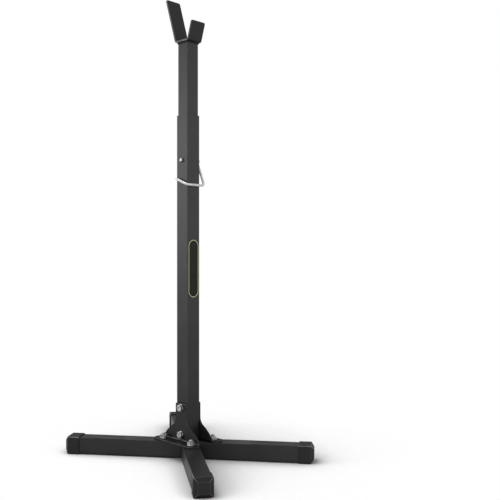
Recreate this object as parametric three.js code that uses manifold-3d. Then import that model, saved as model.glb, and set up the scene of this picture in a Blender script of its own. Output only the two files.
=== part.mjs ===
// A height-adjustable squat stand: an X-shaped foot of square tube, a square post bolted on it by two
// bell-shaped brackets, a smaller square post that telescopes out of it, a bent-strap saddle for the
// bar, and a lock pin held by a spring-wire clip that wraps round the post.
// Millimetres. +Z is up, the bar lies along X, and -Y is the side of the short saddle arm.
// The origin is on the floor, below the axis of the posts.
import * as THREE from 'three';
import { mergeVertices } from 'three/addons/utils/BufferGeometryUtils.js';
import Module from 'manifold-3d';

const wasm = await Module();
wasm.setup();

// Counts of straight sides that stand for round shapes. An outline's arc gets two sides for each
// of its curve segments.
const arcSides = 6;
const bellArcSides = 8;
const holeSides = 12;
const rodSides = 16;
const wireSides = 10;
const wireSteps = 48;

// One overrun lets every cutter reach past the faces that it cuts
const overrun = 5;

// Air between pieces that slide, turn or stand askew to each other
const fitGap = 0.3;

// Outer post
const outerWidth = 45;
const outerWall = 2;
const outerCorner = 1.5;
const outerLength = 913;

// Inner post, drawn out by restExposure when the pin is in its first hole
const innerWidth = 40;
const innerWall = 2;
const innerCorner = 1.5;
const innerTail = 40;
const restExposure = 205;
const holePitch = 50;
const innerHoleDiameter = 12;

// Guide plug in the lower end of the inner post, with room left above the upper post bolt
const plugCollarHeight = 4;
const plugDepth = 20;
const plugRoom = 20;

// Legs, with every arm at armAngle from the Y axis
const legWidth = 45;
const legWall = 2;
const legCorner = 2;
const legReach = 354.5;
const armAngle = THREE.MathUtils.degToRad(35.5);

// End caps, pushed over the leg ends, with a bevelled end
const capWall = 2.2;
const capCorner = 4;
const capSleeve = 33;
const capBevelDepth = 8;
const capBevelMargin = 10.5;
const capFloor = 1.5;

// Brackets: a bell-shaped plate on the post and a flange on the legs, bent from one sheet
const bracketSheet = 4;
const bracketBendRadius = 3;
const bracketHeight = 106.5;
const bracketTopCorner = 4;
const bellShoulderHeight = 65;
const bellNeckRadius = 27;
const bellNeckTurn = THREE.MathUtils.degToRad(60);
const bellFootHalf = 75;
const bellBulge = 3.3;
const flangeReach = 38.5;
const flangeHalfLength = 87;
const flangeBackCorner = 12;
const flangeFrontCorner = 18;

// Bolts, washers and nuts
const boltDiameter = 10;
const boltHoleDiameter = 11;
const hexAcrossFlats = 17;
const headHeight = 6.4;
const nutHeight = 8.2;
const postWasherDiameter = 21;
const footWasherDiameter = 23;
const washerThickness = 2;
const threadStub = 4.5;
const postBoltLowHeight = 19.5;
const postBoltSpacing = 75;
const footBoltRadius = 71;
const accessHoleDiameter = 24;
const hexChamferShare = 0.97;
const hexChamferSlope = Math.sqrt(3);

// Lock pin
const pinDrop = 126.5;
const pinDiameter = 10;
const pinHoleDiameter = 13;
const pinTipOut = 7;
const pinTipDiameter = 7.5;
const pinTipLength = 2;
const pinCollarDiameter = 20;
const pinCollarLength = 3;
const pinHeadDiameter = 14;
const pinHeadLength = 13.5;
const pinHeadChamfer = 1.2;

// Wire clip, seen from the pin's axis
const wireDiameter = 7;
const wireOffset = 11.5;
const wireStandOff = 7.5;
const wireStub = 12;
const wireDrop = 70;
const wireEndDrop = 52;
const wireEndAcross = 16;
const wireBend = 11;

// Saddle for the bar
const strapWidth = 50;
const strapThickness = 5;
const strapBendRadius = 4;
const strapCorner = 5;
const saddleFlatHalf = 24;
const saddleLean = THREE.MathUtils.degToRad(17.5);
const tallArmRise = 126.5;
const shortArmRise = 49;

// Weld beads
const saddleBead = 3.5;
const legBead = 4;

// Label
const labelWidth = 38;
const labelHeight = 162.5;
const labelThickness = 0.4;
const labelRise = 402;

// Sizes that follow from the ones above
const outerHalf = outerWidth / 2;
const legUnderside = capWall + fitGap;
const legTop = legUnderside + legWidth;
const capWidth = legWidth + 2 * legUnderside;
const outerTop = legTop + outerLength;
const innerTop = outerTop + restExposure;
const firstHoleDrop = restExposure + pinDrop;
const pinHeight = outerTop - pinDrop;
const upperBoltTop = legTop + postBoltLowHeight + postBoltSpacing + boltDiameter / 2;
const holeRoom = pinHeight - upperBoltTop - plugRoom - plugCollarHeight - innerTail;
const holeGaps = Math.floor(holeRoom / holePitch);
const innerLength = firstHoleDrop + holeGaps * holePitch + innerTail;
const capLength = capSleeve + capBevelDepth;
const legEnd = legReach - capBevelDepth - capFloor - fitGap;
const boltStack = bracketSheet + washerThickness;
const wirePlane = outerHalf + wireStandOff;
const wireHeadX = outerHalf + wireOffset;

// Materials
function finish(color, metalness, roughness) {
  return new THREE.MeshStandardMaterial({ color, metalness, roughness });
}
const blackCoat = finish(0x2b2c2e, 0.3, 0.5);
const blackPlastic = finish(0x1d1e20, 0, 0.7);
const zincPlate = finish(0xc4c6c8, 0.9, 0.3);
const springSteel = finish(0xd8dadc, 1, 0.2);
const labelFilm = finish(0x141516, 0, 0.4);

// Booleans on geometries
function toSolid(geometry) {
  const plain = geometry.clone();
  plain.deleteAttribute('normal');
  plain.deleteAttribute('uv');
  const merged = mergeVertices(plain);
  const corners = merged.index.array;
  const kept = [];
  for (let i = 0; i < corners.length; i += 3) {
    const [a, b, c] = corners.slice(i, i + 3);
    if (a !== b && b !== c && c !== a) kept.push(a, b, c);
  }
  return new wasm.Manifold(new wasm.Mesh({
    numProp: 3,
    vertProperties: new Float32Array(merged.attributes.position.array),
    triVerts: new Uint32Array(kept),
  }));
}

function toGeometry(solid) {
  const { vertProperties, triVerts } = solid.getMesh();
  const geometry = new THREE.BufferGeometry();
  geometry.setAttribute('position', new THREE.BufferAttribute(vertProperties, 3));
  geometry.setIndex(new THREE.BufferAttribute(triVerts, 1));
  return geometry;
}

function cut(body, ...tools) {
  return toGeometry(tools.reduce((solid, tool) => solid.subtract(toSolid(tool)), toSolid(body)));
}

function join(body, ...others) {
  return toGeometry(others.reduce((solid, other) => solid.add(toSolid(other)), toSolid(body)));
}

function common(body, other) {
  return toGeometry(toSolid(body).intersect(toSolid(other)));
}

// Plain shapes
function prism(outline, depth) {
  return new THREE.ExtrudeGeometry(outline, { depth, bevelEnabled: false, curveSegments: arcSides / 2 });
}

// Turns a prism drawn in (y, z) so that it runs along +X
function alongX(geometry) {
  const x = new THREE.Vector3(1, 0, 0);
  const y = new THREE.Vector3(0, 1, 0);
  const z = new THREE.Vector3(0, 0, 1);
  return geometry.applyMatrix4(new THREE.Matrix4().makeBasis(y, z, x));
}

// Turns a prism drawn in (x, z) so that it runs along -Y
function alongMinusY(geometry) {
  return geometry.rotateX(Math.PI / 2);
}

function rodZ(diameter, length, sides = holeSides) {
  const rod = new THREE.CylinderGeometry(diameter / 2, diameter / 2, length, sides);
  return rod.rotateX(Math.PI / 2).translate(0, 0, length / 2);
}

function rodX(diameter, length, sides = holeSides) {
  const rod = new THREE.CylinderGeometry(diameter / 2, diameter / 2, length, sides);
  return rod.rotateZ(Math.PI / 2);
}

function roundedRectangle(width, height, radius) {
  const x = width / 2 - radius;
  const y = height / 2 - radius;
  const outline = new THREE.Shape();
  outline.absarc(x, -y, radius, -Math.PI / 2, 0);
  outline.absarc(x, y, radius, 0, Math.PI / 2);
  outline.absarc(-x, y, radius, Math.PI / 2, Math.PI);
  outline.absarc(-x, -y, radius, Math.PI, Math.PI * 1.5);
  return outline;
}

function squareTube(width, wall, corner, length) {
  const bore = width - 2 * wall;
  const boreCorner = Math.max(corner - wall, wall / 4);
  const outline = roundedRectangle(width, width, corner);
  outline.holes.push(roundedRectangle(bore, bore, boreCorner));
  return prism(outline, length);
}

// Posts
function outerPost() {
  const across = outerWidth + 2 * overrun;
  const pinHole = rodX(pinHoleDiameter, across).translate(0, 0, pinHeight - legTop);
  const lowHole = rodX(boltHoleDiameter, across).translate(0, 0, postBoltLowHeight);
  const highHole = lowHole.clone().translate(0, 0, postBoltSpacing);
  return cut(squareTube(outerWidth, outerWall, outerCorner, outerLength), pinHole, lowHole, highHole);
}

function innerPost() {
  const holes = [];
  for (let i = 0; i <= holeGaps; i += 1) {
    const height = innerTail + i * holePitch;
    holes.push(rodX(innerHoleDiameter, innerWidth + 2 * overrun).translate(0, 0, height));
  }
  return cut(squareTube(innerWidth, innerWall, innerCorner, innerLength), ...holes);
}

// The collar closes the tube end and guides it in the outer post; the body sits inside the tube
function innerPlug() {
  const collarWidth = outerWidth - 2 * outerWall - 2 * fitGap;
  const bodyWidth = innerWidth - 2 * innerWall - 2 * fitGap;
  const boreWidth = bodyWidth - 2 * innerWall;
  const collar = prism(roundedRectangle(collarWidth, collarWidth, innerCorner), plugCollarHeight);
  const body = prism(roundedRectangle(bodyWidth, bodyWidth, innerCorner / 2), plugDepth + plugCollarHeight);
  const bore = prism(roundedRectangle(boreWidth, boreWidth, innerCorner / 2), plugDepth + overrun);
  return cut(join(collar, body), bore.translate(0, 0, plugCollarHeight)).translate(0, 0, -plugCollarHeight);
}

// Legs run along +X in the frame of their arm
function boltHolesInLeg(along) {
  const topHole = rodZ(boltHoleDiameter, legWidth + overrun);
  const accessHole = rodZ(accessHoleDiameter, legWidth / 2 + overrun);
  return [topHole.translate(along, 0, legWidth / 2), accessHole.translate(along, 0, -overrun)];
}

function legTube(from, to) {
  const tube = alongX(squareTube(legWidth, legWall, legCorner, to - from));
  return tube.translate(from, 0, legWidth / 2);
}

function longLeg() {
  return cut(legTube(-legEnd, legEnd), ...boltHolesInLeg(footBoltRadius), ...boltHolesInLeg(-footBoltRadius));
}

// A half leg ends askew at the flat side of the long leg, which runs at crossing from it
function halfLeg(crossing) {
  const room = legWidth + 2 * fitGap;
  const longLegRoom = new THREE.BoxGeometry(2 * legReach, room, legWidth + 2 * overrun);
  longLegRoom.rotateZ(crossing).translate(0, 0, legWidth / 2);
  const behind = new THREE.BoxGeometry(legReach, 2 * legWidth, legWidth + 2 * overrun);
  behind.translate(-legReach / 2, 0, legWidth / 2);
  return cut(legTube(0, legEnd), longLegRoom, behind, ...boltHolesInLeg(footBoltRadius));
}

// Vertical fillet bead where the side of a half leg meets the side of the long leg, drawn around
// the stand's axis: one ray follows the long leg and the other the half leg
function legWeld(longHeading, halfHeading) {
  const longRay = new THREE.Vector2(Math.cos(longHeading), Math.sin(longHeading));
  const halfRay = new THREE.Vector2(Math.cos(halfHeading), Math.sin(halfHeading));
  const between = Math.acos(longRay.dot(halfRay));
  const notch = (legWidth / 2 + fitGap) / Math.sin(between);
  const root = longRay.clone().add(halfRay).multiplyScalar(notch);
  const outline = new THREE.Shape([
    root,
    root.clone().addScaledVector(longRay, legBead),
    root.clone().addScaledVector(halfRay, legBead),
  ]);
  return prism(outline, legWidth - 2 * legCorner).translate(0, 0, legCorner);
}

// End cap: a rounded sleeve cut by a pyramid that leaves the bevelled end, hollowed for the leg
function endCap() {
  const sleeve = prism(roundedRectangle(capWidth, capWidth, capCorner), capLength);
  const slope = capBevelMargin / capBevelDepth;
  const endRadius = (capWidth / 2 - capBevelMargin) * Math.SQRT2;
  const startRadius = endRadius + capLength * slope * Math.SQRT2;
  const pyramid = new THREE.CylinderGeometry(endRadius, startRadius, capLength, 4);
  pyramid.rotateY(Math.PI / 4).rotateX(Math.PI / 2).translate(0, 0, capLength / 2);
  const boreWidth = legWidth + 2 * fitGap;
  const bore = prism(roundedRectangle(boreWidth, boreWidth, legCorner), capSleeve - capFloor + overrun);
  return alongX(cut(common(sleeve, pyramid), bore.translate(0, 0, -overrun)));
}

// Brackets, drawn with the post's face at x = 0 and the top of the legs at z = 0
function bracketSection() {
  const inner = bracketBendRadius;
  const outer = bracketBendRadius + bracketSheet;
  const outline = new THREE.Shape();
  outline.moveTo(outer, 0);
  outline.lineTo(flangeReach, 0);
  outline.lineTo(flangeReach, bracketSheet);
  outline.absarc(outer, outer, inner, -Math.PI / 2, -Math.PI, true);
  outline.lineTo(bracketSheet, bracketHeight);
  outline.lineTo(0, bracketHeight);
  outline.absarc(outer, outer, outer, Math.PI, Math.PI * 1.5);
  return outline;
}

// Half of the bell: the neck follows the post, an arc turns out of it, and a full curve runs on
// to the foot. Points run from the foot up.
function bellSide() {
  const neckHalf = outerHalf;
  const turnEnd = new THREE.Vector2(
    neckHalf + bellNeckRadius * (1 - Math.cos(bellNeckTurn)),
    bellShoulderHeight - bellNeckRadius * Math.sin(bellNeckTurn),
  );
  const foot = new THREE.Vector2(bellFootHalf, bracketSheet);
  const chord = turnEnd.clone().sub(foot);
  const outward = new THREE.Vector2(chord.y, -chord.x).normalize();
  const control = foot.clone().addScaledVector(chord, 1 / 2).addScaledVector(outward, 2 * bellBulge);
  const side = new THREE.Path();
  side.moveTo(bellFootHalf, 0);
  side.lineTo(foot.x, foot.y);
  side.quadraticCurveTo(control.x, control.y, turnEnd.x, turnEnd.y);
  const centreX = neckHalf + bellNeckRadius;
  side.absarc(centreX, bellShoulderHeight, bellNeckRadius, Math.PI + bellNeckTurn, Math.PI, true);
  side.lineTo(neckHalf, bracketHeight - bracketTopCorner);
  const cornerX = neckHalf - bracketTopCorner;
  side.absarc(cornerX, bracketHeight - bracketTopCorner, bracketTopCorner, 0, Math.PI / 2);
  return side.getPoints(bellArcSides / 2);
}

function bellOutline() {
  const right = bellSide();
  const left = right.map((point) => new THREE.Vector2(-point.x, point.y)).reverse();
  return new THREE.Shape([...right, ...left]);
}

function flangeOutline() {
  const back = bracketSheet + bracketBendRadius;
  const outline = new THREE.Shape();
  outline.moveTo(back, -bellFootHalf);
  outline.absarc(back + flangeBackCorner, -bellFootHalf, flangeBackCorner, Math.PI, Math.PI * 1.5);
  const frontX = flangeReach - flangeFrontCorner;
  const frontY = flangeHalfLength - flangeFrontCorner;
  outline.absarc(frontX, -frontY, flangeFrontCorner, -Math.PI / 2, 0);
  outline.absarc(frontX, frontY, flangeFrontCorner, 0, Math.PI / 2);
  outline.absarc(back + flangeBackCorner, bellFootHalf, flangeBackCorner, Math.PI / 2, Math.PI);
  return outline;
}

function bracket() {
  const sheet = alongMinusY(prism(bracketSection(), 2 * flangeHalfLength)).translate(0, flangeHalfLength, 0);
  const plate = alongX(prism(bellOutline(), bracketSheet + bracketBendRadius));
  const flange = prism(flangeOutline(), bracketSheet);
  const holes = [];
  for (const rise of [postBoltLowHeight, postBoltLowHeight + postBoltSpacing]) {
    holes.push(rodX(boltHoleDiameter, 2 * (bracketSheet + overrun)).translate(0, 0, rise));
  }
  for (const side of [-1, 1]) {
    const x = footBoltRadius * Math.sin(armAngle) - outerHalf;
    const y = side * footBoltRadius * Math.cos(armAngle);
    holes.push(rodZ(boltHoleDiameter, bracketSheet + 2 * overrun).translate(x, y, -overrun));
  }
  return cut(common(sheet, join(plate, flange)), ...holes);
}

// Fasteners stand on z = 0, along +Z
function hexBlock(height) {
  const cornerRadius = hexAcrossFlats / Math.sqrt(3);
  const block = new THREE.CylinderGeometry(cornerRadius, cornerRadius, height, 6);
  const topRadius = hexAcrossFlats / 2 * hexChamferShare;
  const baseRadius = topRadius + height * hexChamferSlope;
  const chamfer = new THREE.CylinderGeometry(topRadius, baseRadius, height, holeSides);
  return common(block, chamfer).rotateX(Math.PI / 2).translate(0, 0, height / 2);
}

function hexBolt(length) {
  const head = hexBlock(headHeight).rotateX(Math.PI);
  const shank = rodZ(boltDiameter, length + headHeight / 2, rodSides).translate(0, 0, -headHeight / 2);
  return join(head, shank);
}

function hexNut() {
  const bore = rodZ(boltDiameter + 2 * fitGap, nutHeight + 2 * overrun, rodSides);
  return cut(hexBlock(nutHeight), bore.translate(0, 0, -overrun));
}

function washer(diameter) {
  const bore = rodZ(boltDiameter + 2 * fitGap, washerThickness + 2 * overrun, rodSides);
  return cut(rodZ(diameter, washerThickness, rodSides), bore.translate(0, 0, -overrun));
}

// The wire leaves the pin's head aslant, so that it comes down in front of the post
function wireSlant() {
  return Math.atan2(wirePlane, wireDrop);
}

// Pin: turned round its own axis, tip towards -X, with a slanted cross hole for the wire
function lockPin() {
  const tipX = -outerHalf - pinTipOut;
  const collarX = outerHalf + fitGap;
  const headX = collarX + pinCollarLength;
  const endX = headX + pinHeadLength;
  const profile = [
    [0, tipX],
    [pinTipDiameter / 2, tipX],
    [pinDiameter / 2, tipX + pinTipLength],
    [pinDiameter / 2, collarX],
    [pinCollarDiameter / 2, collarX],
    [pinCollarDiameter / 2, headX],
    [pinHeadDiameter / 2, headX],
    [pinHeadDiameter / 2, endX - pinHeadChamfer],
    [pinHeadDiameter / 2 - pinHeadChamfer, endX],
    [0, endX],
  ];
  const turned = new THREE.LatheGeometry(profile.map(([r, x]) => new THREE.Vector2(r, x)), rodSides);
  turned.rotateZ(-Math.PI / 2);
  const crossHole = rodZ(wireDiameter + 2 * fitGap, pinHeadDiameter + 2 * overrun);
  crossHole.translate(0, 0, -pinHeadDiameter / 2 - overrun).rotateX(-wireSlant()).translate(wireHeadX, 0, 0);
  return cut(turned, crossHole);
}

// Straight stretches joined by round bends
function bentPath(corners, bend) {
  const path = new THREE.CurvePath();
  let from = corners[0];
  for (let i = 1; i < corners.length - 1; i += 1) {
    const corner = corners[i];
    const enter = corner.clone().add(corners[i - 1].clone().sub(corner).setLength(bend));
    const leave = corner.clone().add(corners[i + 1].clone().sub(corner).setLength(bend));
    path.add(new THREE.LineCurve3(from, enter));
    path.add(new THREE.QuadraticBezierCurve3(enter, corner, leave));
    from = leave;
  }
  path.add(new THREE.LineCurve3(from, corners[corners.length - 1]));
  return path;
}

function wireClip() {
  const slant = wireSlant();
  const corners = [
    new THREE.Vector3(wireHeadX, wireStub * Math.sin(slant), wireStub * Math.cos(slant)),
    new THREE.Vector3(wireHeadX, -wirePlane, -wireDrop),
    new THREE.Vector3(-wirePlane, -wirePlane, -wireDrop),
    new THREE.Vector3(-wirePlane, wireEndAcross, -wireEndDrop),
  ];
  const section = new THREE.Shape();
  section.absarc(0, 0, wireDiameter / 2, 0, 2 * Math.PI);
  const extrudePath = bentPath(corners, wireBend);
  return new THREE.ExtrudeGeometry(section, { steps: wireSteps, curveSegments: wireSides / 2, extrudePath });
}

// Saddle: the strap's section in (y, z), with its underside at z = 0
function saddleSection() {
  const turn = Math.PI / 2 - saddleLean;
  const inner = strapBendRadius;
  const outer = strapBendRadius + strapThickness;
  const bendY = saddleFlatHalf - inner * Math.tan(turn / 2);
  const outline = new THREE.Shape();
  outline.absarc(bendY, outer, outer, -Math.PI / 2, -Math.PI / 2 + turn);
  const tall = armEnd(tallArmRise);
  outline.lineTo(tall.outer.x, tall.outer.y);
  outline.lineTo(tall.inner.x, tall.inner.y);
  outline.absarc(bendY, outer, inner, -Math.PI / 2 + turn, -Math.PI / 2, true);
  outline.absarc(-bendY, outer, inner, -Math.PI / 2, -Math.PI / 2 - turn, true);
  const short = armEnd(shortArmRise);
  outline.lineTo(-short.inner.x, short.inner.y);
  outline.lineTo(-short.outer.x, short.outer.y);
  outline.absarc(-bendY, outer, outer, -Math.PI / 2 - turn, -Math.PI / 2);
  return outline;
}

// End of an arm on the +Y side whose inner edge rises so far above the saddle's flat
function armEnd(rise) {
  const inner = new THREE.Vector2(saddleFlatHalf + rise * Math.tan(saddleLean), strapThickness + rise);
  const across = new THREE.Vector2(Math.cos(saddleLean), -Math.sin(saddleLean));
  return { inner, outer: inner.clone().addScaledVector(across, strapThickness) };
}

// Keeps one arm's side of the strap, with the corners of its free end rounded; it goes a little past
// the middle, so that the masks of both arms overlap
function armMask(rise, side) {
  const height = strapCorner + strapThickness + rise;
  const reach = saddleFlatHalf + strapThickness + rise;
  const outline = roundedRectangle(strapWidth, height, strapCorner);
  const mask = alongMinusY(prism(outline, reach + strapThickness));
  mask.translate(0, side > 0 ? reach : strapThickness, 0);
  return mask.translate(0, 0, height / 2 - strapCorner);
}

function saddle() {
  const strap = alongX(prism(saddleSection(), strapWidth)).translate(-strapWidth / 2, 0, 0);
  return common(strap, join(armMask(tallArmRise, 1), armMask(shortArmRise, -1)));
}

// Fillet bead round the inner post, under the saddle, with its upper face at z = 0
function saddleWeld() {
  const room = innerWidth + 2 * fitGap;
  const lowRadius = room / 2 * Math.SQRT2 + fitGap;
  const highRadius = (room / 2 + saddleBead) * Math.SQRT2;
  const cone = new THREE.CylinderGeometry(highRadius, lowRadius, saddleBead, 4);
  cone.rotateY(Math.PI / 4).rotateX(Math.PI / 2).translate(0, 0, -saddleBead / 2);
  const bore = prism(roundedRectangle(room, room, innerCorner), saddleBead + 2 * overrun);
  return cut(cone, bore.translate(0, 0, -saddleBead - overrun));
}

// Label, flat on the post's -Y face
function label() {
  const outline = roundedRectangle(labelWidth, labelHeight, labelWidth / 2);
  return alongMinusY(prism(outline, labelThickness)).translate(0, -outerHalf, labelRise + labelHeight / 2);
}

// The assembly
function add(parent, name, geometry, material, place = [0, 0, 0], turn = [0, 0, 0]) {
  geometry.computeVertexNormals();
  const mesh = new THREE.Mesh(geometry, material);
  mesh.name = name;
  mesh.position.set(...place);
  mesh.rotation.set(...turn);
  parent.add(mesh);
}

function turnedGroup(parent, heading) {
  const group = new THREE.Group();
  group.rotation.z = heading;
  parent.add(group);
  return group;
}

const quarter = Math.PI / 2;
const headings = {
  right: armAngle - quarter,
  rear: quarter - armAngle,
  left: quarter + armAngle,
  front: -quarter - armAngle,
};

function addArm(stand, side, heading) {
  const arm = turnedGroup(stand, heading);
  const crossing = headings.right - heading;
  if (side === 'right') add(arm, 'leg_long', longLeg(), blackCoat, [0, 0, legUnderside]);
  if (side === 'front' || side === 'rear') {
    add(arm, `leg_${side}`, halfLeg(crossing), blackCoat, [0, 0, legUnderside]);
  }
  add(arm, `leg_cap_${side}`, endCap(), blackPlastic, [legReach - capLength, 0, capWidth / 2]);
  const boltLength = legWall + boltStack + nutHeight + threadStub;
  const wallUnderside = legTop - legWall;
  const washerHeight = legTop + bracketSheet;
  add(arm, `foot_bolt_${side}`, hexBolt(boltLength), zincPlate, [footBoltRadius, 0, wallUnderside]);
  const flat = washer(footWasherDiameter);
  add(arm, `foot_washer_${side}`, flat, zincPlate, [footBoltRadius, 0, washerHeight]);
  add(arm, `foot_nut_${side}`, hexNut(), zincPlate, [footBoltRadius, 0, washerHeight + washerThickness]);
}

function addLegWelds(stand) {
  for (const long of ['left', 'right']) {
    for (const half of ['front', 'rear']) {
      const bead = legWeld(headings[long], headings[half]);
      add(stand, `leg_weld_${half}_${long}`, bead, blackCoat, [0, 0, legUnderside]);
    }
  }
}

function addBrackets(stand) {
  const sides = { right: 0, left: Math.PI };
  for (const [side, heading] of Object.entries(sides)) {
    const group = turnedGroup(stand, heading);
    add(group, `bracket_${side}`, bracket(), blackCoat, [outerHalf, 0, legTop]);
  }
}

// The post bolts run along +X, with their heads on the left bracket
function addPostBolts(stand) {
  const rises = { lower: postBoltLowHeight, upper: postBoltLowHeight + postBoltSpacing };
  const plateFace = outerHalf + bracketSheet;
  const seat = plateFace + washerThickness;
  const length = 2 * seat + nutHeight + threadStub;
  for (const [level, rise] of Object.entries(rises)) {
    const z = legTop + rise;
    const turn = [0, quarter, 0];
    add(stand, `post_bolt_${level}`, hexBolt(length), zincPlate, [-seat, 0, z], turn);
    const flat = washer(postWasherDiameter);
    add(stand, `post_head_washer_${level}`, flat.clone(), zincPlate, [-seat, 0, z], turn);
    add(stand, `post_nut_washer_${level}`, flat, zincPlate, [plateFace, 0, z], turn);
    add(stand, `post_nut_${level}`, hexNut(), zincPlate, [seat, 0, z], turn);
  }
}

function addPosts(stand) {
  add(stand, 'outer_post', outerPost(), blackCoat, [0, 0, legTop]);
  add(stand, 'post_label', label(), labelFilm, [0, 0, legTop]);
  add(stand, 'inner_post', innerPost(), blackCoat, [0, 0, innerTop - innerLength]);
  add(stand, 'inner_post_plug', innerPlug(), blackPlastic, [0, 0, innerTop - innerLength]);
  add(stand, 'bar_saddle', saddle(), blackCoat, [0, 0, innerTop]);
  add(stand, 'saddle_weld', saddleWeld(), blackCoat, [0, 0, innerTop]);
  add(stand, 'lock_pin', lockPin(), zincPlate, [0, 0, pinHeight]);
  add(stand, 'wire_clip', wireClip(), springSteel, [0, 0, pinHeight]);
}

const stand = new THREE.Group();
for (const [side, heading] of Object.entries(headings)) addArm(stand, side, heading);
addLegWelds(stand);
addBrackets(stand);
addPostBolts(stand);
addPosts(stand);

export default stand;
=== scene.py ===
import math

import bpy
from mathutils import Matrix, Vector


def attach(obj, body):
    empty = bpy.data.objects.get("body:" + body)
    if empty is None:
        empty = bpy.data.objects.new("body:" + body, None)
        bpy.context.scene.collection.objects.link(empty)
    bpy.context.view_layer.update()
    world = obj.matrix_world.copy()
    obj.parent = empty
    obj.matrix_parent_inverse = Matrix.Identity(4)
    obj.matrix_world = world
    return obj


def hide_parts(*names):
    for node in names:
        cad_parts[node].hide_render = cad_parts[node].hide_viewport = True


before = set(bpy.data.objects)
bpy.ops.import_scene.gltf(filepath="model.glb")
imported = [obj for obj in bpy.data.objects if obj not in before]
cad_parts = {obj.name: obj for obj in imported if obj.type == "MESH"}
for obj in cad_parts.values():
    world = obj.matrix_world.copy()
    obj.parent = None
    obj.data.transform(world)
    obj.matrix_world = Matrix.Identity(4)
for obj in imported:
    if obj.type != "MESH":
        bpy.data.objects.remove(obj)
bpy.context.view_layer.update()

# Posts
OUTER_WIDTH = 0.045
OUTER_WALL = 0.002
OUTER_CORNER = 0.0015
BORE_CORNER_SHARE = 0.25
OUTER_LENGTH = 0.913
INNER_WIDTH = 0.04
INNER_WALL = 0.002
INNER_CORNER = 0.0015
INNER_LENGTH = 0.9715
REST_EXPOSURE = 0.205
INNER_TAIL = 0.04
HOLE_PITCH = 0.05
HOLE_COUNT = 13
INNER_HOLE_RADIUS = 0.006
PIN_HOLE_RADIUS = 0.0065
PIN_DROP = 0.1265

# Legs, with every arm at ARM_ANGLE from the Y axis
LEG_WIDTH = 0.045
LEG_WALL = 0.002
LEG_CORNER = 0.002
LEG_REACH = 0.3545
LEG_UNDERSIDE = 0.0025
ARM_ANGLE = math.radians(35.5)

# End caps
CAP_WIDTH = 0.05
CAP_CORNER = 0.004
CAP_SLEEVE = 0.033
CAP_BEVEL_DEPTH = 0.008
CAP_BEVEL_MARGIN = 0.0105
CAP_WALL = 0.0022
CAP_FLOOR = 0.0015
CAP_RIDGE = 0.0011

# Brackets
SHEET = 0.004
SHEET_BEND = 0.003
BELL_HEIGHT = 0.1065
BELL_TOP_CORNER = 0.004
BELL_SHOULDER_HEIGHT = 0.065
BELL_NECK_RADIUS = 0.027
BELL_NECK_TURN = math.radians(60)
BELL_FOOT_HALF = 0.075
BELL_BULGE = 0.0033
FLANGE_REACH = 0.0385
FLANGE_HALF = 0.087
FLANGE_BACK_CORNER = 0.012
FLANGE_FRONT_CORNER = 0.018

# Fasteners
BOLT_RADIUS = 0.005
HEX_SIDES = 6
HEX_FLATS = 0.017
HEX_CHAMFER_ANGLE = math.radians(30)
HEX_CHAMFER_SHARE = 0.96
HEAD_HEIGHT = 0.0064
NUT_HEIGHT = 0.0082
POST_WASHER_RADIUS = 0.0105
FOOT_WASHER_RADIUS = 0.0115
WASHER_THICKNESS = 0.002
THREAD_STUB = 0.0045
THREAD_PITCH = 0.0015
THREAD_DEPTH = 0.0006
THREAD_RUN = 0.0135
STUB_CHAMFER = 0.0008
POST_BOLT_HEIGHTS = {"lower": 0.0195, "upper": 0.0945}
FOOT_BOLT_RADIUS = 0.071
BORE_RADIUS = 0.0053

# Lock pin and wire clip
PIN_RADIUS = 0.005
PIN_TIP_OUT = 0.007
PIN_TIP_RADIUS = 0.00375
PIN_TIP_LENGTH = 0.002
PIN_NOSE_RADIUS = 0.0028
PIN_NOSE_LENGTH = 0.0006
PIN_COLLAR_RADIUS = 0.01
PIN_COLLAR_LENGTH = 0.003
PIN_HEAD_RADIUS = 0.007
PIN_HEAD_LENGTH = 0.0135
PIN_HEAD_CHAMFER = 0.0012
PIN_GROOVE = 0.0006
WIRE_RADIUS = 0.0035
WIRE_OFFSET = 0.0115
WIRE_STAND_OFF = 0.0075
WIRE_STUB = 0.012
WIRE_DROP = 0.07
WIRE_END_DROP = 0.052
WIRE_END_ACROSS = 0.016
WIRE_BEND = 0.011
WIRE_END_ROUND = 0.0009

# Saddle
STRAP_WIDTH = 0.05
STRAP_THICKNESS = 0.005
STRAP_BEND = 0.004
STRAP_CORNER = 0.005
SADDLE_FLAT_HALF = 0.024
SADDLE_LEAN = math.radians(17.5)
TALL_ARM_RISE = 0.1265
SHORT_ARM_RISE = 0.049

# Weld beads: radii, and a ripple's length, step and sinking as shares of the radius
SADDLE_BEAD = 0.0022
LEG_BEAD = 0.0033
BEAD_LENGTH_SHARE = 0.8
BEAD_STEP_SHARE = 0.62
BEAD_SINK_SHARE = 0.25
BEAD_VOXEL = 0.00055
BEAD_SIDES = 16

# Label
LABEL_WIDTH = 0.038
LABEL_HEIGHT = 0.1625
LABEL_THICKNESS = 0.0004
LABEL_RISE = 0.402
LABEL_LINE = 0.0016
LABEL_LINE_INSET = 0.0009

# Gap between pieces that lie side by side or one in the other
CLEARANCE = 0.0003

# Rounding of the sharp edges
FINE_EDGE = 0.0004
SHEET_EDGE = 0.0009
PART_EDGE = 0.0003
SMOOTH_ANGLE = math.radians(32)
EDGE_ANGLE = math.radians(30)

# Marks: faces up to this width round an edge off, and how far cap corners and bends are marked with a
# painted highlight
NARROW_FACE = 0.0007
CAP_HIGHLIGHT_SHARE = 0.46
BEND_HIGHLIGHT_SHARE = 0.34

# Shares of a direction along an axis from which it counts as facing the axis, or as leaning to it
FACING_SHARE = 0.6
SLANT_SHARE = 0.1

# Counts of sides and steps
EDGE_STEPS = 2
RIDGE_STEPS = 3
CORNER_STEPS = 6
ARC_STEPS = 10
HOLE_SIDES = 40
ROUND_SIDES = 48

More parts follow.
